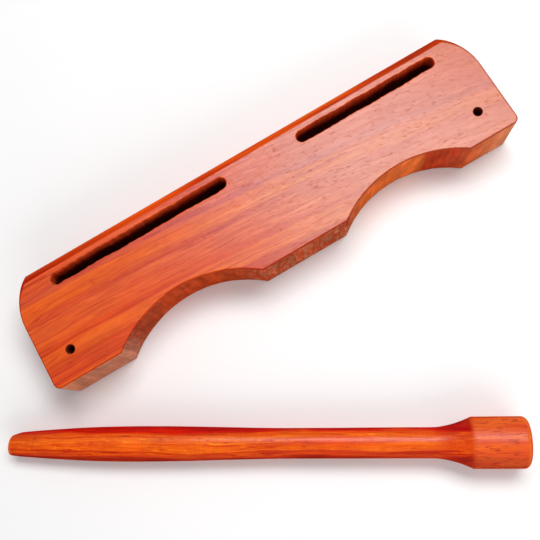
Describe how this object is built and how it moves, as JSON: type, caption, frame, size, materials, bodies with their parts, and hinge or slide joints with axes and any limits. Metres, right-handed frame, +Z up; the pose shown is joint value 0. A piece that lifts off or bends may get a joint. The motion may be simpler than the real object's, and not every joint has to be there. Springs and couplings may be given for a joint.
{
  "type": "two-tone slotted wooden sounding board with beater",
  "caption": "Thick hardwood sounding board with long through slots beside one edge and arched feet on the other, struck with a turned wooden beater that has a cylindrical head.",
  "frame": {"origin": "centre of the board's back face, which lies on the ground", "axes": "+X along the board from its long-slot end to its short-slot end, +Y from the arched feet towards the slotted edge, +Z up out of the board's front face"},
  "size_m": [0.5231, 0.3482, 0.052],
  "materials": {
    "board_wood": "satin lacquered orange-red hardwood",
    "beater_wood": "satin lacquered red-orange hardwood"
  },
  "bodies": {
    "board": {"sounding_board": "board_wood"},
    "beater": {"beater": "beater_wood"}
  },
  "joints": [
    {"name": "beater_lift", "type": "slide", "parent": "board", "child": "beater", "axis": [0, 0, 1], "range_m": [0, 0.25]}
  ]
}
